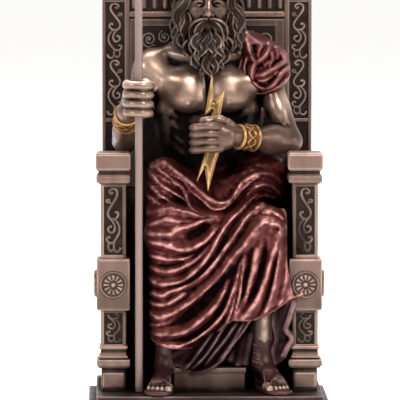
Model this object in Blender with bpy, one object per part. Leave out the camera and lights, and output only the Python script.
import math

import bmesh
import bpy
import numpy as np

# Driving dimensions, in millimetres. X is to the right, Y to the back and Z up from the base's underside.
MILLIMETRE = 0.001
FIT_GAP = 0.35          # air left between two castings that touch

BASE_WIDTH = 138.0
BASE_DEPTH = 125.0
LOWER_STEP_HEIGHT = 8.4
UPPER_STEP_HEIGHT = 6.6
STEP_SETBACK = 4.5      # how far the upper step stands in from the lower one

POST_SPACING = 109.6    # between the front posts' centre lines
POST_FRONT = -31.0      # the front face of a post's shaft
POST_DEPTH = 17.0
SHAFT_WIDTH = 14.6
PEDESTAL_HEIGHT = 24.0  # the plain foot with its square panel and its rounded band
LOWER_SHAFT_HEIGHT = 22.5
BLOCK_HEIGHT = 29.5     # the block that carries a rosette
UPPER_SHAFT_HEIGHT = 42.8
CAPITAL_HEIGHT = 17.7
BLOCK_SWELL = 2.45      # how far blocks and slabs stand out from the shaft
SCROLL_RISE = 1.1
ROSETTE_RADIUS = 8.0
ROSETTE_RISE = 1.4
PETALS = 12

SEAT_HEIGHT = 85.0      # above the floor
SEAT_FRONT = -19.0
FOOT_BLOCK_WIDTH = 42.0
FOOT_BLOCK_HEIGHT = 13.2
FOOT_BLOCK_FRONT = -30.0
SIDE_WALL = 10.0

BACK_WIDTH = 122.0
BACK_FRONT = 42.0
BACK_THICKNESS = 12.0
BACK_TOP = 247.0        # the top of the frieze, above the floor
CORNICE_HEIGHT = 17.0
# how far each step of the cornice stands out, and its share of the cornice's height
CORNICE_STEPS = ((1.5, 0.36), (3.0, 0.24), (4.6, 0.4))
BACK_FRAME_RISE = 1.6
BAR_COUNT = 15
BAR_PITCH = 6.05
BAR_WIDTH = 3.6
FRIEZE_BOTTOM = 230.7
SWIRL_RISE = 1.6

FIGURE_HEIGHT = 243.8   # from the soles to the crown
STAFF_RADIUS = 2.2
STAFF_LENGTH = 247.0
STAFF_PLACE = (-40.2, -36.2)
BOLT_THICKNESS = 3.0

FINE_GRID = 1.15        # the sculpting grid's cell
FIGURE_TRIANGLES = 4450
ROUGH_TRIANGLES = 24000

BASE_TOP = LOWER_STEP_HEIGHT + UPPER_STEP_HEIGHT
POST_HEIGHTS = (PEDESTAL_HEIGHT, LOWER_SHAFT_HEIGHT, BLOCK_HEIGHT, UPPER_SHAFT_HEIGHT, CAPITAL_HEIGHT)
ARM_DROP = 4.5          # the arm's top lies this far below the capitals'
ARM_TOP = BASE_TOP + sum(POST_HEIGHTS) - ARM_DROP
FAR_OUT = 300.0         # beyond every part of the statue
BEHIND = 40.0           # past the back, for a cut

farAway = 12.0


def unit(v):
    v = np.asarray(v, float)
    return v / np.linalg.norm(v)


def blendIn(a, b, k):
    # the smaller of two gaps, with a rounded joint k wide
    if k <= 0:
        return np.minimum(a, b)
    h = np.maximum(k - np.abs(a - b), 0) / k
    return np.minimum(a, b) - h * h * k / 4


class Clay:
    """A block of space on a grid: each node keeps its gap to the modelled surface, below zero inside."""

    def __init__(self, low, high, cell):
        self.low = np.array(low, float)
        self.cell = cell
        self.size = np.ceil((np.array(high, float) - self.low) / cell).astype(int) + 1
        self.gap = np.full(self.size, farAway, np.float32)

    def beside(self, gap=None):
        # another grid in the same place, empty or with a copy of a gap
        made = Clay(self.low, self.low, self.cell)
        made.size = self.size
        made.gap = np.full(self.size, farAway, np.float32) if gap is None else gap.copy()
        return made

    def window(self, low, high, margin):
        margin = margin + 2 * self.cell
        first = np.floor((np.array(low) - margin - self.low) / self.cell).astype(int)
        last = np.ceil((np.array(high) + margin - self.low) / self.cell).astype(int) + 1
        first = np.clip(first, 0, self.size)
        last = np.clip(last, first, self.size)
        span = tuple(slice(a, b) for a, b in zip(first, last))
        steps = [np.arange(first[i], last[i]) for i in range(3)]
        x, y, z = ((self.low[i] + self.cell * steps[i]).astype(np.float32) for i in range(3))
        return span, (x[:, None, None], y[None, :, None], z[None, None, :])

    def press(self, low, high, measure, blend=0.0, cut=False):
        span, grid = self.window(low, high, blend)
        here = self.gap[span]
        if here.size == 0:
            return
        shape = measure(*grid)
        if cut:
            self.gap[span] = -blendIn(-here, shape, blend)
        else:
            self.gap[span] = blendIn(here, shape, blend)

    def egg(self, centre, radii, blend=0.0, along=None, cut=False):
        # an ellipsoid, whose first radius may point along a direction
        centre = np.array(centre, float)
        turn = np.eye(3)
        if along is not None:
            first = unit(along)
            second = unit(np.cross((0, 0, 1.0) if abs(first[2]) < 0.95 else (0, 1.0, 0), first))
            turn = np.array([first, second, np.cross(first, second)])
        reach = np.sqrt(((turn * np.array(radii, float)[:, None]) ** 2).sum(0))

        def measure(x, y, z):
            x, y, z = x - centre[0], y - centre[1], z - centre[2]
            near = far = 0
            for row, radius in zip(turn, radii):
                p = (x * row[0] + y * row[1] + z * row[2]) / radius
                near = near + p * p
                far = far + (p / radius) ** 2
            near = np.sqrt(near)
            return near * (near - 1) / np.sqrt(np.maximum(far, 1e-9))

        self.press(centre - reach, centre + reach, measure, blend, cut)

    def limb(self, a, b, ra, rb=None, blend=0.0, cut=False):
        self.rope([a, b], [ra, ra if rb is None else rb], blend, cut)

    def rope(self, points, radii, blend=0.0, cut=False):
        # a round bar through the points, joined to the rest as one shape
        points = np.array(points, float)
        radii = np.array(radii, float) * np.ones(len(points))
        low, high = points.min(0) - radii.max(), points.max(0) + radii.max()
        span, grid = self.window(low, high, blend)
        here = self.gap[span]
        if here.size == 0:
            return
        own = Clay(self.low, self.low, self.cell)
        own.low = self.low + self.cell * np.array([s.start for s in span])
        own.size = np.array(here.shape)
        own.gap = np.full(here.shape, farAway, np.float32)
        for a, b, ra, rb in zip(points[:-1], points[1:], radii[:-1], radii[1:]):
            along = b - a
            length2 = max(along @ along, 1e-9)
            reach = max(ra, rb)
            part, (x, y, z) = own.window(np.minimum(a, b) - reach, np.maximum(a, b) + reach, blend)
            x, y, z = x - a[0], y - a[1], z - a[2]
            t = np.clip((x * along[0] + y * along[1] + z * along[2]) / length2, 0, 1)
            off = (x - t * along[0]) ** 2 + (y - t * along[1]) ** 2 + (z - t * along[2]) ** 2
            own.gap[part] = np.minimum(own.gap[part], np.sqrt(off) - (ra + t * (rb - ra)))
        if cut:
            self.gap[span] = -blendIn(-here, own.gap, blend)
        else:
            self.gap[span] = blendIn(here, own.gap, blend)

    def trim(self, measure):
        # keeps what is inside a shape that reaches everywhere
        x, y, z = [self.low[i] + self.cell * np.arange(self.size[i]) for i in range(3)]
        shape = measure(x[:, None, None], y[None, :, None], z[None, None, :])
        self.gap = np.maximum(self.gap, shape.astype(np.float32))

    def front(self, x, z):
        # the Y of the surface that is met first from the front
        ix = np.clip(np.rint((x - self.low[0]) / self.cell).astype(int), 0, self.size[0] - 1)
        iz = np.clip(np.rint((z - self.low[2]) / self.cell).astype(int), 0, self.size[2] - 1)
        columns = self.gap[ix, :, iz] < 0
        first = np.where(columns.any(1), columns.argmax(1), -1)
        y = self.low[1] + self.cell * first
        hit = first >= 0
        if not hit.any():
            return np.zeros(len(x)), hit
        return np.interp(np.arange(len(x)), np.flatnonzero(hit), y[hit]), hit


def smoothLine(points, count=24):
    # a Catmull-Rom line through the points
    p = np.array(points, float)
    p = np.vstack([2 * p[0] - p[1], p, 2 * p[-1] - p[-2]])
    spans = len(p) - 3
    line = []
    for s in np.linspace(0, spans, count):
        i = min(int(s), spans - 1)
        t = s - i
        a, b, c, d = p[i:i + 4]
        line.append(0.5 * (2 * b + (c - a) * t + (2 * a - 5 * b + 4 * c - d) * t * t
                           + (3 * b - a - 3 * c + d) * t ** 3))
    return np.array(line)


def between(first, last, count):
    # lines that change evenly from the first to the last, each a list of points
    first, last = np.array(first, float), np.array(last, float)
    return [first + (last - first) * i / max(count - 1, 1) for i in range(count)]


def arcLine(start, bend, end, count=20):
    t = np.linspace(0, 1, count)[:, None]
    start, bend, end = (np.array(p, float) for p in (start, bend, end))
    return start * (1 - t) ** 2 + 2 * bend * t * (1 - t) + end * t * t


def fold(clay, base, line, radius, sink=0.35, taper=0.45, blend=3.0, cut=False):
    # a ridge or a groove that lies on the front of the base form, along a line of X and Z
    y, hit = base.front(line[:, 0], line[:, 1])
    if hit.sum() < 3:
        return
    window = np.ones(5) / 5
    y = np.convolve(np.pad(y, 2, mode="edge"), window, mode="valid")
    t = np.linspace(0, 1, len(line))
    radii = radius * (taper + (1 - taper) * np.sin(math.pi * np.clip(t, 0.02, 0.98)) ** 0.6)
    offset = -sink * radii if cut else sink * radii
    points = np.stack([line[:, 0], y + offset, line[:, 1]], 1)
    clay.rope(points, radii, blend, cut)


# The pose, in the figure's own drawing millimetres: soles at Z 15, crown at Z 258.8
drawnSole = 15.0
drawnCrown = 258.8
pose = {
    "hipRight": (-15, 12, 102), "kneeRight": (-22, -25, 105), "ankleRight": (-25, -26, 31),
    "hipLeft": (15, 12, 102), "kneeLeft": (33, -24, 106), "ankleLeft": (31, -27, 34),
    "shoulderRight": (-32, 19, 198), "elbowRight": (-48, 11, 156), "wristRight": (-47, -25, 174),
    "shoulderLeft": (32, 20, 198), "elbowLeft": (47, 6, 156), "wristLeft": (15, -18, 160),
    "fist": (-40.2, -36.2, 182.5), "grip": (5, -21, 160),
}


def torso(clay):
    clay.egg((0, 20, 180), (28, 14.5, 27))
    clay.egg((0, 21, 152), (21.5, 13.5, 26), 8)
    clay.egg((0, 20, 112), (26, 17, 20), 6)
    for side in (-1, 1):
        clay.limb((side * 20, 20, 203), (side * 5, 19, 213), 6, 7, 6)
        clay.egg((side * 12.6, 9.5, 184), (14, 8.5, 11.5), 2.5)
        clay.limb((side * 24, 10, 188), (side * 33, 15, 197), 7, 8, 4)
        clay.limb((side * 4, 8, 201), (side * 27, 12, 204), 2.2, 2.6, 3)
        clay.egg((side * 25, 17, 168), (6, 11, 17), 4)
        for row in range(3):
            clay.egg((side * 6.2, 9.2, 166 - 8.5 * row), (5.6, 3.2, 4.0), 1.6)
    clay.limb((0, 20, 196), (0, 17, 222), 9.5, 8.5, 5)
    clay.limb((0, 6.5, 196), (0, 7, 150), 1.1, 0.9, 2.5, cut=True)


def arms(clay):
    for side, shoulder, elbow, wrist in (("Right", "shoulderRight", "elbowRight", "wristRight"),
                                         ("Left", "shoulderLeft", "elbowLeft", "wristLeft")):
        s, e, w = (np.array(pose[name], float) for name in (shoulder, elbow, wrist))
        down = unit(e - s)
        fore = unit(w - e)
        clay.egg(s + down * 3, (14, 10.5, 10.5), 5, along=down)
        clay.limb(s, e, 8.5, 6.5, 4)
        clay.egg(s + (e - s) * 0.52 + np.array((0, -3.0, 0)), (14.5, 7.4, 7.4), 3, along=down)
        clay.egg(s + (e - s) * 0.55 + np.array((0, 4.0, 0)), (14, 6.5, 6.5), 3, along=down)
        clay.limb(e, w, 6.6, 5.0, 4)
        clay.egg(e + (w - e) * 0.30, (13, 8.4, 8.0), 3, along=fore)


def rightFist(clay):
    fx, fy, fz = pose["fist"]
    clay.limb(pose["wristRight"], (fx - 4.5, fy + 9, fz - 2), 5.2, 5.6, 3)
    clay.egg((fx - 4.2, fy + 5.5, fz), (4.6, 8.0, 9.8), 3)
    for finger in range(4):
        z = fz + 7.8 - 5.2 * finger
        curl = [(-6.4, 3.0, 0.4), (-4.6, -4.2, 0.3), (1.2, -6.2, 0), (5.6, -3.4, -0.3), (5.2, 2.2, -0.5)]
        line = smoothLine([(fx + a, fy + b, z + c) for a, b, c in curl], 14)
        clay.rope(line, 2.75, 0.5)
    bent = [(fx - 3, fy + 7, fz + 5), (fx + 3.5, fy + 5.6, fz + 8.5), (fx + 8.2, fy + 2.2, fz + 6.6)]
    thumb = smoothLine(bent, 10)
    clay.rope(thumb, np.linspace(3.2, 2.4, 10), 1.0)


def leftHand(clay):
    gx, gy, gz = pose["grip"]
    clay.limb(pose["wristLeft"], (gx + 3, gy + 1, gz + 0.5), 5.2, 6.0, 3)
    clay.egg((gx + 2, gy, gz + 0.3), (8.5, 4.8, 8.2), 3)
    for finger in range(4):
        z = gz + 6.2 - 4.3 * finger
        curl = [(-1, -0.8, 0), (-6.5, -3.6, 0), (-12.5, -2.6, -0.6), (-14.2, 1.4, -1.2), (-10.0, 4.6, -1.4)]
        line = smoothLine([(gx + a, gy + b, z + c) for a, b, c in curl], 14)
        clay.rope(line, 2.35, 0.5)
    bent = [(gx + 7, gy + 1, gz + 7), (gx, gy + 0.5, gz + 10.2), (gx - 8, gy - 0.5, gz + 8.6)]
    thumb = smoothLine(bent, 10)
    clay.rope(thumb, np.linspace(3.0, 2.2, 10), 1.0)


def cuff(clay, wrist, elbow, start, length, radius):
    w, e = np.array(pose[wrist], float), np.array(pose[elbow], float)
    along = unit(e - w)
    a, b = w + along * start, w + along * (start + length)

    def measure(x, y, z):
        dx, dy, dz = x - a[0], y - a[1], z - a[2]
        t = dx * along[0] + dy * along[1] + dz * along[2]
        across = np.sqrt(np.maximum(dx * dx + dy * dy + dz * dz - t * t, 0))
        rim = 0.9 * np.exp(-((t / 1.3) ** 2)) + 0.9 * np.exp(-(((t - length) / 1.3) ** 2))
        return np.maximum(across - radius - 0.045 * t - rim, np.abs(t - length / 2) - length / 2)

    clay.press(np.minimum(a, b) - radius - 2, np.maximum(a, b) + radius + 2, measure, 0)


# each foot's ankle, the place of its middle toe, and its outer side
feet = (("ankleRight", (-29.5, -50, 19.4), -1), ("ankleLeft", (39.5, -48, 19.4), 1))
toeRadii = (2.9, 2.2, 2.2, 2.2, 2.2)
SOLE_MIDDLE = 16.4
SOLE_THICKNESS = 2.8


def legsAndFeet(clay):
    clay.limb((33, -27, 80), pose["ankleLeft"], 8.0, 5.0, 3)
    clay.limb((-24, -28, 70), pose["ankleRight"], 8.0, 5.2, 3)
    for name, toes, outside in feet:
        ankle, tip = np.array(pose[name], float), np.array(toes, float)
        heel = ankle * (1, 1, 0) + (0, 5, 21.5)
        clay.limb(ankle, heel, 5.2, 5.0, 3)
        clay.limb(ankle + (0, -1, -4), tip + (0, 5, 0.6), 5.6, 4.0, 4)
        clay.limb(heel, tip + (0, 4, -0.6), 4.6, 4.0, 4)
        forward = unit((tip - ankle) * (1, 1, 0))
        across = np.array((-forward[1], forward[0], 0)) * outside
        for toe, radius in enumerate(toeRadii):
            end = tip + across * (toe - 2) * 3.0
            clay.limb(end - forward * 3.0, end + forward * 1.5 + (0, 0, -1.2), radius, radius * 0.9, 0.8)
        sole(clay, ankle, tip)


def sole(clay, ankle, tip):
    # flat round pads from the heel to the toes
    heel = ankle[:2] + (0, 6)
    toes = tip[:2] + (0, -1)
    for x, y in smoothLine([heel, (ankle[:2] + toes) / 2, toes], 12):
        width = 6.0 + 2.6 * (heel[1] - y) / (heel[1] - toes[1])
        low = (x - width, y - width, SOLE_MIDDLE - SOLE_THICKNESS)
        high = (x + width, y + width, SOLE_MIDDLE + SOLE_THICKNESS)
        clay.press(low, high, flatPad(x, y, width), 0.3)


def flatPad(x, y, width):
    def measure(gx, gy, gz):
        return np.maximum(np.hypot(gx - x, gy - y) - width, np.abs(gz - SOLE_MIDDLE) - SOLE_THICKNESS / 2)
    return measure


def head(clay):
    clay.egg((0, 18, 241), (14.2, 17, 17.6))
    clay.egg((0, 9.5, 231), (11.4, 10.5, 16), 4)
    clay.egg((0, 8.5, 244), (11, 8.5, 8), 3)
    clay.limb((0, 1.6, 236.5), (0, -1.4, 229), 1.5, 2.4, 1.5)
    clay.limb((0, 2.6, 239.2), (0, 1.6, 236.5), 1.8, 1.5, 1.5)
    for side in (-1, 1):
        clay.egg((side * 2.3, 0.4, 228.2), (1.7, 2.1, 1.5), 0.8)
        clay.egg((side * 5.3, 1.0, 235.6), (3.9, 2.8, 2.6), 1.5, cut=True)
        clay.egg((side * 5.3, 3.7, 235.4), (2.7, 2.3, 2.0), 0.4)
        clay.limb((side * 1.9, 1.7, 239.0), (side * 9.2, 4.0, 239.6), 1.7, 1.2, 1.5)
        clay.egg((side * 7.4, 4.6, 230.8), (3.6, 3.4, 3.6), 2.5)
    clay.egg((0, -0.2, 221.4), (3.6, 2.0, 1.3), 0.8)


def lock(clay, start, end, radius, sway, turns=1.0, phase=0.0, bulge=(0, 0, 0), blend=0.8, count=14):
    # one wavy lock of hair, thick in the middle and pointed at its end
    start, end, bulge = (np.array(p, float) for p in (start, end, bulge))
    t = np.linspace(0, 1, count)[:, None]
    along = unit(end - start)
    side = unit(np.cross(along, (0, 1.0, 0)))
    line = start + (end - start) * t + bulge * np.sin(math.pi * t)
    line = line + side * sway * np.sin(2 * math.pi * turns * t + phase) * (0.4 + 0.6 * t)
    radii = radius * (0.75 + 0.5 * np.sin(math.pi * t[:, 0]) - 0.55 * t[:, 0] ** 2)
    clay.rope(line, radii, blend)


def beard(clay):
    clay.limb((0, 6, 219), (0, 1.0, 200), 11.0, 6.5, 4)
    for side in (-1, 1):
        clay.limb((side * 10.5, 9, 232), (side * 9.5, 5, 214), 4.5, 6.5, 3)
        out = (side * 2.2, -0.6, 1.8)
        lock(clay, (side * 0.9, -2.6, 225.4), (side * 10.5, -1.4, 214.5), 2.0, side * 0.9, 0.8, 0, out)
        out = (side * 1.4, -1.0, 1.2)
        lock(clay, (side * 1.2, -2.2, 224.4), (side * 7.6, -2.6, 212.5), 1.6, side * 0.7, 0.8, 0.6, out)
    rows = ((13, 14.5, 4.2, 227, 204, 2.3), (9, 11.0, 0.4, 222, 196, 2.4), (7, 6.5, -2.6, 219, 191.5, 2.4))
    for count, spread, y, top, low, radius in rows:
        for i in range(count):
            u = 2 * i / (count - 1) - 1
            start = (u * spread * 0.72, y + 3.4 * u * u, top - 2.0 * (1 - u * u) * 2)
            end = (u * spread * 1.12, y - 1.5 + 6.0 * u * u, low + 9.5 * abs(u) ** 1.6)
            lock(clay, start, end, radius, 1.9, 1.15, 1.9 * i, (u * 3.5, -1.8, 0), 0.7)


def hair(clay):
    clay.egg((0, 22, 243), (15.8, 16.5, 15.8), 3)
    for side in (-1, 1):
        beside = [(side * 13.5, 16, 243), (side * 15.0, 15, 225), (side * 13.0, 13, 209)]
        clay.rope(beside, [6.0, 5.6, 4.6], 4)
    clay.rope([(0, 33, 240), (0, 33, 216)], [12, 9], 4)
    rings = ((9, 6, 252.5, 2.3, 11), (13, 13, 246, 2.4, 12), (15, 17.0, 239, 2.4, 13))
    for number, (count, reach, top, radius, drop) in enumerate(rings):
        for i in range(count):
            angle = math.pi * (-0.22 + 1.44 * i / (count - 1))
            dx, dy = math.cos(angle), math.sin(angle)
            start = (dx * reach * 0.75, 20 + dy * reach * 0.8 - 2, top + 4)
            end = (dx * (reach + 3.5), 20 + dy * (reach + 1.0), top - drop)
            lock(clay, start, end, radius, 1.8, 1.2, 1.7 * i + number, (dx * 1.5, dy * 1.5, 1.0), 0.7)
    for i in range(7):
        u = 2 * i / 6 - 1
        end = (u * 12.5, 3.4 + 5.5 * u * u, 245.5 - 2 * abs(u))
        lock(clay, (u * 3, 8.5, 255), end, 2.2, 1.2, 0.9, i, (u * 2, -2.6, 1.2), 0.7)
    for side in (-1, 1):
        for i in range(6):
            x = side * (13.4 + 1.1 * (i % 3))
            start = (x - side * 2, 8 + 2.6 * i, 243 - 2 * (i % 2))
            end = (side * (15.8 - 0.5 * i), 7 + 3.0 * i, 206.5 + 1.5 * i)
            lock(clay, start, end, 2.6, 2.2, 2.1, 1.3 * i + side, (side * 3.2, -1.2, 0), 0.7, 20)


def shoulderCloth(clay):
    base = clay.beside()
    base.egg((33, 12.5, 197), (16, 12.5, 17))
    base.limb((27, 24, 206), (24, 33, 186), 12, 13, 6)
    base.limb((24, 34, 186), (14, 33, 150), 13, 15, 6)
    clay.gap = blendIn(clay.gap, base.gap, 0)
    outer = [(20.8, 11.0, 211.5), (18.4, 5.0, 197), (21, 1.6, 186),
             (31, 0.2, 182.5), (42, 2.0, 186.5), (48.3, 7.0, 195)]
    inner = [(34.5, 9.0, 214.0), (32.6, 2.0, 206), (33.2, -0.8, 202.5),
             (35.5, -1.0, 202), (38, 0.6, 204.5), (40.5, 6.0, 208.5)]
    for i, points in enumerate(between(outer, inner, 6)):
        line = smoothLine(points, 26)
        clay.rope(line, 2.6 - 0.12 * i, 1.2)


def lapBase(base):
    base.limb(pose["hipRight"], pose["kneeRight"], 17, 15.5, 8)
    base.limb(pose["hipLeft"], pose["kneeLeft"], 17, 14.5, 8)
    base.limb((-20, -20, 105), (30, -19, 106), 14.5, 14.5, 8)
    waist = [(-25, 9, 136), (-14, -3, 128), (2, -12, 116), (13, -6, 124), (25, -2, 131), (36, 7, 129)]
    base.rope(waist, 11, 8)
    base.limb((0, 6, 112), (0, 19, 126), 20, 22, 8)
    base.egg((31, 12, 140), (15, 13, 10), 6)
    base.limb(pose["kneeRight"], (-22.5, -27, 44), 12.5, 10.5, 6)
    for i in range(8):
        t = i / 7
        low = np.array((-22, -28, 96 - 50 * t))
        high = np.array((31 - 14 * t, -27, 100 - 34 * t))
        base.limb(low, high, 9.5, 9.5, 6)
    for i in range(6):
        t = i / 5
        foot = np.array((16 + 29 * t, -35.5 + 1.5 * t, 58 + 12 * t))
        base.limb((31 + 3 * t, -29, 104), foot, 9, 6.0 - 1.6 * t, 5)


def hemHeight(x):
    places = (-45, -33, -30, -21.5, -11.3, -2.8, 4.6, 12.6, 19, 26, 37, 46, 53, 58)
    heights = (52, 45, 42.3, 40, 39.6, 42.4, 48.7, 56.5, 56, 56.2, 61.5, 68, 70.5, 72)
    return np.interp(x, places, heights)


def lapCloth(clay):
    base = clay.beside()
    lapBase(base)
    drape = clay.beside(base.gap)
    families = (
        (5, 2.7, ((10.4, 111), (-6, 87), (-36, 79)), ((19, 98), (6, 66), (-34, 49))),
        (1, 3.4, ((21, 100), (15, 50), (-26, 41)), None),
        (2, 2.2, ((14, 88), (2, 64), (-30, 55)), ((12, 72), (0, 54), (-26, 46))),
        (5, 2.7, ((24, 107), (22, 80), (12.8, 57)), ((43, 108), (44, 88), (51, 71))),
        (4, 2.3, ((12, 123), (26, 134), (43, 124)), ((16, 114), (34, 124), (47, 110))),
        (5, 2.3, ((8, 117), (-9, 121), (-30, 121)), ((8, 113), (-10, 98), (-34, 92))),
    )
    for count, radius, first, last in families:
        for line in between(first, first if last is None else last, count):
            fold(drape, base, arcLine(*line), radius)
    grooves = (
        (4, 1.8, ((12.5, 106), (-4, 82), (-36, 75)), ((17.5, 99), (5, 66), (-34, 54))),
        (4, 1.8, ((26.5, 104), (25, 80), (17.6, 59)), ((40.5, 104), (41, 84), (45, 70))),
        (1, 4.0, ((15, 88), (4, 72), (-14, 60)), None),
    )
    for count, radius, first, last in grooves:
        for line in between(first, first if last is None else last, count):
            fold(drape, base, arcLine(*line), radius, 0.4, 0.5, 3.0, cut=True)
    rolls = ([(-30, 145), (-15, 137.5), (3.5, 125.5), (14, 134.5), (25, 141.5)],
             [(-27, 140), (-10, 126.5), (7, 119.5), (20, 130), (34, 136.5)])
    for points in rolls:
        fold(drape, base, smoothLine(points), 3.1, 0.0, 0.75)
    for line in between(((9, 133), (22, 142), (42, 147)), ((15, 131), (28, 137), (45, 139)), 3):
        fold(drape, base, arcLine(*line), 2.0)
    drape.trim(lambda x, y, z: hemHeight(x) - z + 0 * y)
    clay.gap = blendIn(clay.gap, drape.gap, 0)


def underCloth(clay):
    base = clay.beside()
    for i in range(6):
        z = 62 - 7 * i
        base.limb((-22, -25, z), (30, -25, z + 6), 6.5, 6.5, 5)
    layer = clay.beside(base.gap)
    for line in between(((12, 58), (0, 36), (-22, 25)), ((26, 52), (14, 34), (0, 28)), 4):
        fold(layer, base, arcLine(*line), 2.4, 0.2)
    places = (-45, -22, -16.3, -2.6, 7.1, 17.3, 24, 60)
    heights = (40, 27, 24.6, 27.2, 30.2, 40, 46, 60)
    layer.trim(lambda x, y, z: np.interp(x, places, heights) - z + 0 * y)
    clay.gap = blendIn(clay.gap, layer.gap, 0)
    for x in (40, 42.6, 45.2):
        wave = []
        for i, sway in enumerate((0, 1.6, -1.8, 1.2, -1.0)):
            wave.append((x + sway, -36 - 0.5 * (i % 2), 68 - 7.5 * i))
        clay.rope(smoothLine(wave, 16), 2.4, 1.0)


def modelFigure(clay):
    torso(clay)
    arms(clay)
    rightFist(clay)
    leftHand(clay)
    legsAndFeet(clay)
    head(clay)
    lapCloth(clay)
    underCloth(clay)
    shoulderCloth(clay)
    cuff(clay, "wristRight", "elbowRight", 3.0, 14.0, 7.4)
    cuff(clay, "wristLeft", "elbowLeft", 2.0, 14.0, 7.2)
    beard(clay)
    hair(clay)


def skinOf(clay):
    # surface nets: one point in each cell that the surface crosses, one face for each crossed grid edge
    gap = clay.gap
    strides = np.array([gap.shape[1] * gap.shape[2], gap.shape[2], 1])
    cells, spots, faces = [], [], []
    for axis in range(3):
        u, v = (axis + 1) % 3, (axis + 2) % 3
        a = np.delete(gap, -1, axis)
        b = np.delete(gap, 0, axis)
        crossed = (a < 0) != (b < 0)
        at = np.argwhere(crossed)
        start, end = a[crossed], b[crossed]
        point = at.astype(float)
        point[:, axis] += start / (start - end)
        around = []
        for du, dv in ((0, 0), (-1, 0), (-1, -1), (0, -1)):
            cell = at.copy()
            cell[:, u] += du
            cell[:, v] += dv
            around.append(cell @ strides)
        around = np.stack(around, 1)
        faces.append(np.where((start < 0)[:, None], around, around[:, ::-1]))
        cells.append(around.ravel())
        spots.append(np.repeat(point, 4, axis=0))
    cells, spots, faces = np.concatenate(cells), np.concatenate(spots), np.concatenate(faces)
    names, index = np.unique(cells, return_inverse=True)
    index = index.ravel()
    count = np.bincount(index)
    points = np.stack([np.bincount(index, spots[:, i]) / count for i in range(3)], 1)
    return points * clay.cell + clay.low, np.searchsorted(names, faces)


def fillCorners(clay):
    # fills grid squares whose inside corners meet only across a diagonal, so that the skin never pinches
    gap = clay.gap
    for sweep in range(12):
        inside = gap < 0
        filled = 0
        for axis in range(3):
            u, v = [i for i in range(3) if i != axis]
            corner = []
            for du in (0, 1):
                for dv in (0, 1):
                    part = [slice(None)] * 3
                    part[u] = slice(du, gap.shape[u] - 1 + du)
                    part[v] = slice(dv, gap.shape[v] - 1 + dv)
                    corner.append(tuple(part))
            c00, c01, c10, c11 = (inside[c] for c in corner)
            pinched = (c00 & c11 & ~c01 & ~c10) | (c01 & c10 & ~c00 & ~c11)
            at = np.argwhere(pinched)
            if len(at):
                for du, dv in ((0, 0), (0, 1), (1, 0), (1, 1)):
                    node = at.copy()
                    node[:, u] += du
                    node[:, v] += dv
                    index = tuple(node.T)
                    gap[index] = np.where(gap[index] >= 0, -0.05 * clay.cell, gap[index])
                filled += len(at)
        if not filled:
            return


def material(name, colour, roughness, metallic):
    made = bpy.data.materials.new(name)
    made.use_nodes = True
    shader = made.node_tree.nodes["Principled BSDF"]
    shader.inputs["Base Color"].default_value = (*colour, 1.0)
    shader.inputs["Roughness"].default_value = roughness
    shader.inputs["Metallic"].default_value = metallic
    return made


def meshObject(name, points, faces):
    # points in millimetres
    mesh = bpy.data.meshes.new(name)
    corners = (np.array(points, float) * MILLIMETRE).tolist()
    mesh.from_pydata(corners, [], [tuple(map(int, face)) for face in faces])
    mesh.update()
    made = bpy.data.objects.new(name, mesh)
    bpy.context.scene.collection.objects.link(made)
    return made


def evaluatedCopy(source, name):
    # the object's mesh with its modifiers applied, in a new object
    graph = bpy.context.evaluated_depsgraph_get()
    mesh = bpy.data.meshes.new_from_object(source.evaluated_get(graph))
    mesh.name = name
    made = bpy.data.objects.new(name, mesh)
    made.matrix_world = source.matrix_world
    bpy.context.scene.collection.objects.link(made)
    return made


def combine(name, first, others, operation, solver="EXACT"):
    # one Boolean with every other piece as its operands; the operands are used up
    group = bpy.data.collections.new(name + "Operands")
    for piece in others:
        group.objects.link(piece)
    cut = first.modifiers.new(operation.title(), "BOOLEAN")
    cut.operation = operation
    cut.solver = solver
    cut.operand_type = "COLLECTION"
    cut.collection = group
    bpy.context.view_layer.update()
    made = evaluatedCopy(first, name)
    for piece in [first, *others]:
        bpy.data.objects.remove(piece)
    bpy.data.collections.remove(group)
    return made


def box(low, high):
    (x0, y0, z0), (x1, y1, z1) = low, high
    points = [(x, y, z) for z in (z0, z1) for x, y in ((x0, y0), (x1, y0), (x1, y1), (x0, y1))]
    return meshObject("box", points, ringFaces(2, 4))


def ringFaces(rings, sides):
    # faces of a closed tube of stacked rings, each ring counter-clockwise seen from the last ring's end
    faces = [tuple(reversed(range(sides))), tuple(range((rings - 1) * sides, rings * sides))]
    for ring in range(rings - 1):
        for side in range(sides):
            a, b = ring * sides + side, ring * sides + (side + 1) % sides
            faces.append((a, b, b + sides, a + sides))
    return faces


def squareStack(centre, profile):
    # a square pillar: the profile lists heights with the half width and half depth there
    points = []
    for z, w, d in profile:
        for sx, sy in ((-1, -1), (1, -1), (1, 1), (-1, 1)):
            points.append((centre[0] + sx * w, centre[1] + sy * d, z))
    return meshObject("pillar", points, ringFaces(len(profile), 4))


class Plane:
    """A flat carved face: a corner, a direction along it, one across it and one out of it."""

    def __init__(self, origin, along, across, out=(0, -1, 0)):
        self.origin = np.array(origin, float)
        self.along = np.array(along, float)
        self.across = np.array(across, float)
        self.out = np.array(out, float)

    def at(self, u, v, rise):
        return self.origin + u * self.along + v * self.across + rise * self.out


def strip(plane, line, width, rise, sink=0.6):
    # a carved line with a ridge along its middle
    line = np.array(line, float)
    ahead = np.gradient(line, axis=0)
    side = np.stack([-ahead[:, 1], ahead[:, 0]], 1)
    side /= np.linalg.norm(side, axis=1)[:, None]
    points = []
    for i, ((u, v), (su, sv)) in enumerate(zip(line, side)):
        w = width / 2 * (0.55 if i in (0, len(line) - 1) else 1.0)
        points.append(plane.at(u - su * w, v - sv * w, -sink))
        points.append(plane.at(u, v, rise))
        points.append(plane.at(u + su * w, v + sv * w, -sink))
    faces = ringFaces(len(line), 3)
    made = meshObject("strip", points, faces)
    return facedOut(made)


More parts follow.
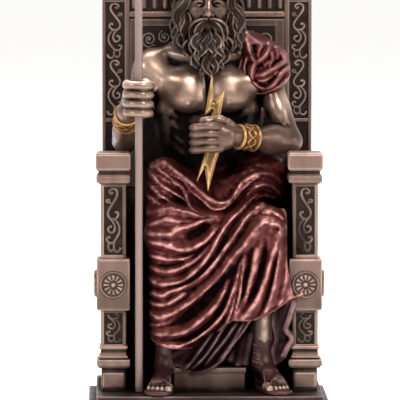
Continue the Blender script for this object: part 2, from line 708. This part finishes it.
def facedOut(made):
    work = bmesh.new()
    work.from_mesh(made.data)
    bmesh.ops.recalc_face_normals(work, faces=work.faces)
    work.to_mesh(made.data)
    work.free()
    return made


def curl(centre, radius, begin, turns, sense, count=8):
    # a spiral that winds inwards
    t = np.linspace(0, 1, count)
    angle = begin + sense * 2 * math.pi * turns * t
    r = radius * (1 - 0.78 * t ** 0.9)
    return np.stack([centre[0] + r * np.cos(angle), centre[1] + r * np.sin(angle)], 1)


def runningScroll(plane, length, width, curls, rise, stroke=1.3):
    # curls that lie left and right of the middle by turns, each fed by a stem from the one before
    pitch = length / curls
    radius = min(width * 0.36, pitch * 0.44)
    shift = width / 2 - radius - stroke * 0.5
    pieces = []
    previous = None
    for i in range(curls):
        sense = 1 if i % 2 else -1
        centre = (pitch * (i + 0.5), sense * shift)
        line = curl(centre, radius, math.pi, 1.35, -sense)
        if previous is None:
            stem = [(centre[0] - radius * 1.15, sense * (shift - radius * 0.9))]
        else:
            back = previous + np.array((0, sense * radius * 0.25))
            between = ((back[0] + line[0][0]) / 2, (back[1] + line[0][1]) / 2)
            stem = [tuple(back), (between[0], between[1] - sense * radius * 0.1)]
        line = np.vstack([stem, line])
        pieces.append(strip(plane, line, stroke, rise))
        previous = np.array((centre[0] + radius * 0.55, sense * (shift - radius * 0.82)))
    return pieces


def rosette(plane, radius, rise):
    # petals around a boss, inside a ring
    sides = 2 * PETALS
    rings = ((1.0, -0.6, 0), (0.92, rise, 0), (0.76, 0.2, 0.7 * rise), (0.25, 0.5 * rise, 0.4 * rise))
    points = []
    for share, height, petal in rings:
        for k in range(sides):
            angle = 2 * math.pi * k / sides
            lift = height + (petal if k % 2 == 0 else 0)
            points.append(plane.at(radius * share * math.cos(angle), radius * share * math.sin(angle), lift))
    made = meshObject("rosette", points, ringFaces(len(rings), sides))
    return facedOut(made)


def throneBase():
    lower = box((-BASE_WIDTH / 2, -BASE_DEPTH / 2, 0), (BASE_WIDTH / 2, BASE_DEPTH / 2, LOWER_STEP_HEIGHT))
    w, d = BASE_WIDTH / 2 - STEP_SETBACK, BASE_DEPTH / 2 - STEP_SETBACK
    upper = box((-w, -d, LOWER_STEP_HEIGHT - 1), (w, d, BASE_TOP))
    return [lower, upper]


def postLevels():
    z = BASE_TOP
    levels = {"foot": z}
    for name, height in (("shaft", PEDESTAL_HEIGHT), ("block", LOWER_SHAFT_HEIGHT), ("upper", BLOCK_HEIGHT),
                         ("capital", UPPER_SHAFT_HEIGHT), ("top", CAPITAL_HEIGHT)):
        z += height
        levels[name] = z
    return levels


def postProfile():
    level = postLevels()
    w, d = SHAFT_WIDTH / 2, POST_DEPTH / 2
    swell = BLOCK_SWELL
    foot, shaft, block = level["foot"], level["shaft"], level["block"]
    upper, capital, top = level["upper"], level["capital"], level["top"]
    steps = [(foot - 1, -0.4), (foot + 13.4, -0.4), (foot + 13.4, swell - 1.1), (foot + 14.4, swell - 0.2),
             (foot + 18.2, swell - 0.2), (foot + 19.2, swell - 1.1), (shaft - 1.2, 0.2), (shaft - 0.9, -0.7),
             (shaft - 0.2, -0.7), (shaft, 0.9), (shaft + 2.2, 0.9), (shaft + 2.4, 0),
             (block, 0), (block, swell - 0.8), (block + 1.0, swell),
             (upper - 1.0, swell), (upper, swell - 0.8),
             (upper, 0), (capital, 0), (capital, swell - 1.2), (capital + 1.0, swell - 0.2),
             (capital + 5.0, swell - 0.2), (capital + 5.7, swell - 1.0),
             (capital + 5.9, 1.2), (capital + 8.0, 1.2), (capital + 8.3, swell - 0.6),
             (capital + 9.3, swell + 0.2), (top - 1.2, swell + 0.2), (top, swell - 1.0)]
    return [(z, w + grow, d + grow) for z, grow in steps]


def postCarving(side, post):
    # the recessed panels are cut first, then the scrolls and rosettes are added
    level = postLevels()
    x = side * POST_SPACING / 2
    half = SHAFT_WIDTH / 2 - 2.0
    panels = [(level["shaft"] + 2.9, level["block"] - 1.5), (level["upper"] + 2.2, level["capital"] - 1.7)]
    depth = 0.9
    cutters = [box((x - half, POST_FRONT - 3, z0), (x + half, POST_FRONT + depth, z1)) for z0, z1 in panels]
    post = combine("post", post, cutters, "DIFFERENCE")
    carving = []
    for (z0, z1), curls in zip(panels, (2, 4)):
        plane = Plane((x, POST_FRONT + depth, z0 + 0.6), (0, 0, 1), (side, 0, 0))
        carving += runningScroll(plane, z1 - z0 - 1.2, 2 * half - 1.0, curls, SCROLL_RISE)
    middle = (level["block"] + level["upper"]) / 2
    face = Plane((x, POST_FRONT - BLOCK_SWELL, middle), (1, 0, 0), (0, 0, 1))
    carving.append(rosette(face, ROSETTE_RADIUS, ROSETTE_RISE))
    spot = (x + side * (SHAFT_WIDTH / 2 + BLOCK_SWELL), POST_FRONT + POST_DEPTH / 2, middle)
    outer = Plane(spot, (0, 1, 0), (0, 0, 1), (side, 0, 0))
    carving.append(rosette(outer, ROSETTE_RADIUS, ROSETTE_RISE))
    foot = level["foot"]
    carving.append(box((x - 6, POST_FRONT - 0.3, foot + 2), (x + 6, POST_FRONT + 2, foot + 10.6)))
    return [post, *carving]


def armsAndSeat():
    pieces = []
    back = BACK_FRONT + 2
    rear = POST_FRONT + POST_DEPTH - 1
    inner = POST_SPACING / 2 - SHAFT_WIDTH / 2
    for side in (-1, 1):
        x0, x1 = sorted((side * (inner + 0.5), side * (inner + 0.5 + SIDE_WALL)))
        pieces.append(box((x0, rear, BASE_TOP - 1), (x1, back, ARM_TOP - 4)))
        x0, x1 = sorted((side * (inner - 1.0), side * (inner + SHAFT_WIDTH + 1.0)))
        pieces.append(box((x0, rear, ARM_TOP - 8), (x1, back, ARM_TOP)))
        outside = side * (inner + 0.5 + SIDE_WALL)
        for z0, z1 in ((BASE_TOP - 1, BASE_TOP + 12), (ARM_TOP - 17, ARM_TOP - 7)):
            x0, x1 = sorted((outside - side, outside + side * 1.8))
            pieces.append(box((x0, rear, z0), (x1, back, z1)))
        for y0 in (rear, back - 9):
            x0, x1 = sorted((outside - side, outside + side * 1.8))
            pieces.append(box((x0, y0, BASE_TOP - 1), (x1, y0 + 9, ARM_TOP - 7)))
    pieces.append(box((-inner - 2, SEAT_FRONT, BASE_TOP - 1), (inner + 2, back, SEAT_HEIGHT)))
    half = FOOT_BLOCK_WIDTH / 2
    top = BASE_TOP + FOOT_BLOCK_HEIGHT
    core = half - 0.8
    pieces.append(box((-core, FOOT_BLOCK_FRONT + 0.8, BASE_TOP - 1), (core, SEAT_FRONT + 1, top - 0.5)))
    pieces.append(box((-half, FOOT_BLOCK_FRONT, top - 3), (half, SEAT_FRONT + 1, top)))
    pieces.append(box((-half, FOOT_BLOCK_FRONT, BASE_TOP - 1), (half, SEAT_FRONT + 1, BASE_TOP + 1.6)))
    return pieces


def backPieces():
    w = BACK_WIDTH / 2
    level = BACK_FRONT + BACK_FRAME_RISE
    rear = BACK_FRONT + BACK_THICKNESS
    pieces = [box((-w, level, BASE_TOP - 1), (w, rear, BACK_TOP + 1))]

    def frame(x0, x1, z0, z1, rise):
        pieces.append(box((x0, level - rise, z0), (x1, level + 1, z1)))

    low = ARM_TOP - 20
    sill = FRIEZE_BOTTOM
    for side in (-1, 1):
        stiles = ((w - 1.9, w, BACK_TOP, 1.6), (w - 16, w - 13, BACK_TOP, 1.6),
                  (w - 20.6, w - 16.1, sill - 5.8, 0.9))
        for a, b, top, rise in stiles:
            x0, x1 = sorted((side * a, side * b))
            frame(x0, x1, low, top, rise)
        x0, x1 = sorted((side * (w - 13.5), side * (w - 1)))
        frame(x0, x1, sill + 4.1, BACK_TOP, 1.2)
        frame(x0, x1, 165, 167, 1.2)
        plane = Plane((side * (w - 7.4), level, 168), (0, 0, 1), (side, 0, 0))
        pieces.extend(runningScroll(plane, sill + 4.1 - 169, 9.8, 6, SCROLL_RISE))
        pieces.extend(swirls(side, level))
    frame(-w + 16.2, w - 16.2, sill - 9.8, sill - 5.8, 0.9)
    frame(-w + 16.2, w - 16.2, sill - 4.6, sill - 1.1, 2.4)
    frame(-w + 16.2, w - 16.2, BACK_TOP - 2.5, BACK_TOP, 1.8)
    for i in range(BAR_COUNT):
        x = (i - (BAR_COUNT - 1) / 2) * BAR_PITCH
        pieces.append(bar(x, level, FRIEZE_BOTTOM, BACK_TOP - 1))
    z = BACK_TOP
    for grow, height in CORNICE_STEPS:
        top = z + CORNICE_HEIGHT * height
        pieces.append(box((-w - grow, BACK_FRONT - grow, z - 0.5), (w + grow, rear + grow * 0.5, top)))
        z = top
    for x0, x1, z0, z1 in ((-w, w, BASE_TOP, BASE_TOP + 14), (-w, w, BACK_TOP - 12, BACK_TOP),
                           (-w, -w + 10, BASE_TOP, BACK_TOP), (w - 10, w, BASE_TOP, BACK_TOP)):
        pieces.append(box((x0, rear - 1, z0 - 0.5), (x1, rear + 1.4, z1 + 0.5)))
    return pieces


def swirls(side, level):
    # the large spirals beside the figure's head and shoulders
    plane = Plane((0, level, 0), (side, 0, 0), (0, 0, 1))
    lines = [curl((32, 210), 7.2, math.pi * 1.5, 1.5, 1, 10),
             curl((33, 193.5), 6.6, math.pi * 0.5, 1.5, -1, 10),
             curl((33.5, 178), 5.6, math.pi * 1.5, 1.4, 1),
             curl((22, 214), 4.4, math.pi, 1.3, -1)]
    return [strip(plane, line, 1.6, SWIRL_RISE) for line in lines]


def bar(x, level, low, high):
    # an upright half-round bar with a rounded lower end
    sides = 6
    r = BAR_WIDTH / 2
    rings = ((low, 0.4), (low + r * 0.8, 1.0), (high, 1.0))
    points = []
    for z, share in rings:
        for k in range(sides):
            angle = 2 * math.pi * k / sides
            points.append((x + r * share * math.cos(angle), level + r * share * math.sin(angle), z))
    return meshObject("bar", points, ringFaces(len(rings), sides))


def throne():
    pieces = throneBase() + armsAndSeat() + backPieces()
    y = POST_FRONT + POST_DEPTH / 2
    for side in (-1, 1):
        post = squareStack((side * POST_SPACING / 2, y), postProfile())
        pieces += postCarving(side, post)
    made = combine("throne", pieces[0], pieces[1:], "UNION")
    return made


def placeFigure(points):
    # from drawing millimetres to the part's
    scale = FIGURE_HEIGHT / (drawnCrown - drawnSole)
    return (points - (0, 0, drawnSole)) * scale + (0, 0, BASE_TOP + FIT_GAP)


def figure():
    clay = Clay((-60, -62, 13), (62, 52, 262), FINE_GRID)
    modelFigure(clay)
    fillCorners(clay)
    points, faces = skinOf(clay)
    made = meshObject("figureSkin", placeFigure(points), faces)
    keepLargest(made)
    made = thinned(made, ROUGH_TRIANGLES)
    made = combine("figureSeated", made, throneClearance(), "DIFFERENCE")
    keepLargest(made)
    made = thinned(made, FIGURE_TRIANGLES)
    for name, rod in (("figureBored", staffBody(FIT_GAP)), ("zeus_figure", boltBody(FIT_GAP))):
        made = combine(name, made, [rod], "DIFFERENCE", "MANIFOLD")
    keepLargest(made)
    return made


def thinned(made, triangles):
    count = sum(len(face.vertices) - 2 for face in made.data.polygons)
    thin = made.modifiers.new("Decimate", "DECIMATE")
    thin.ratio = min(1.0, triangles / count)
    thin.use_collapse_triangulate = True
    fewer = evaluatedCopy(made, made.name)
    bpy.data.objects.remove(made)
    return fewer


def keepLargest(made):
    work = bmesh.new()
    work.from_mesh(made.data)
    seen = set()
    islands = []
    for vertex in work.verts:
        if vertex in seen:
            continue
        island = [vertex]
        seen.add(vertex)
        for v in island:
            for edge in v.link_edges:
                other = edge.other_vert(v)
                if other not in seen:
                    seen.add(other)
                    island.append(other)
        islands.append(island)
    islands.sort(key=len)
    for island in islands[:-1]:
        bmesh.ops.delete(work, geom=island, context="VERTS")
    work.to_mesh(made.data)
    work.free()


def throneClearance():
    # plain bodies a little larger than the throne's, which the figure stays out of
    g = FIT_GAP
    inner = POST_SPACING / 2 - SHAFT_WIDTH / 2
    outer = BASE_WIDTH
    rear = POST_FRONT + POST_DEPTH
    cutters = [
        box((-outer, -outer, -10), (outer, outer, BASE_TOP + g)),
        box((-inner - 5, SEAT_FRONT - g, 0), (inner + 5, BACK_FRONT + 20, SEAT_HEIGHT + g)),
        box((-outer, BACK_FRONT - g - 0.8, 0), (outer, BACK_FRONT + BEHIND, FAR_OUT)),
        box((-FOOT_BLOCK_WIDTH / 2 - g, FOOT_BLOCK_FRONT - g, 0),
            (FOOT_BLOCK_WIDTH / 2 + g, SEAT_FRONT + 5, BASE_TOP + FOOT_BLOCK_HEIGHT + g)),
    ]
    for side in (-1, 1):
        x0, x1 = sorted((side * (inner - BLOCK_SWELL - 0.4 - g), side * outer))
        swell = BLOCK_SWELL + ROSETTE_RISE + g
        cutters.append(box((x0, POST_FRONT - swell, 0), (x1, rear + 5, postLevels()["top"] + g)))
        x0, x1 = sorted((side * (inner - 1 - g), side * outer))
        cutters.append(box((x0, rear, 0), (x1, BACK_FRONT + 4, ARM_TOP + g)))
    cornice = BACK_FRONT - CORNICE_STEPS[-1][0] - g
    cutters.append(box((-outer, cornice, BACK_TOP - 1), (outer, BACK_FRONT + BEHIND, FAR_OUT)))
    return cutters


def staffBody(grow=0.0):
    x, y = STAFF_PLACE
    sides = 12
    top = BASE_TOP + STAFF_LENGTH
    r = STAFF_RADIUS
    knob = 1.6 * r
    foot = BASE_TOP + FIT_GAP if grow == 0 else BASE_TOP - 5
    rings = [(foot, r), (top - 4 * r, r), (top - 3.7 * r, knob), (top - 2.6 * r, 1.35 * knob),
             (top - 1.2 * r, knob), (top, 0.3 * r)]
    points = []
    for z, radius in rings:
        for k in range(sides):
            angle = 2 * math.pi * k / sides
            points.append((x + (radius + grow) * math.cos(angle), y + (radius + grow) * math.sin(angle), z))
    return meshObject("staff", points, ringFaces(len(rings), sides))


def boltBody(grow=0.0):
    # the two forked ends and the grip between them
    y = pose["grip"][1] + 4.4
    outline = [(1.7, 196.4), (-2.3, 172.2), (0.6, 175.8), (-0.6, 160), (-1.6, 153.0), (-7.5, 132.9),
               (-3.2, 143.6), (-0.6, 127.2), (4.9, 146.8), (9.0, 151.4),
               (7.4, 160), (9.2, 186.6), (3.9, 181.4)]
    half = BOLT_THICKNESS / 2 + grow
    count = len(outline)
    ring = np.array(outline)
    if grow:
        before, after = np.roll(ring, 1, 0), np.roll(ring, -1, 0)
        a = (ring - before) / np.linalg.norm(ring - before, axis=1)[:, None]
        b = (after - ring) / np.linalg.norm(after - ring, axis=1)[:, None]
        normal = np.stack([(a + b)[:, 1], -(a + b)[:, 0]], 1)
        normal /= np.linalg.norm(normal, axis=1)[:, None]
        ring = ring + normal * grow * 1.6
    points = [(x, y - half, z) for x, z in ring] + [(x, y + half, z) for x, z in ring]
    made = meshObject("bolt", placeFigure(np.array(points)), ringFaces(2, count))
    return facedOut(made)


def finish(made, name, look):
    made.name = name
    made.data.name = name
    made.data.materials.clear()
    made.data.materials.append(look)


def build():
    for old in list(bpy.data.objects):
        bpy.data.objects.remove(old)
    finish(throne(), "throne", material("throneBronze", (0.27, 0.16, 0.12), 0.42, 0.85))
    finish(figure(), "zeus_figure", material("figureBronze", (0.30, 0.16, 0.11), 0.40, 0.85))
    finish(staffBody(), "staff", material("staffBronze", (0.52, 0.36, 0.30), 0.38, 0.85))
    finish(boltBody(), "thunderbolt", material("boltGold", (0.70, 0.38, 0.08), 0.35, 0.9))


build()
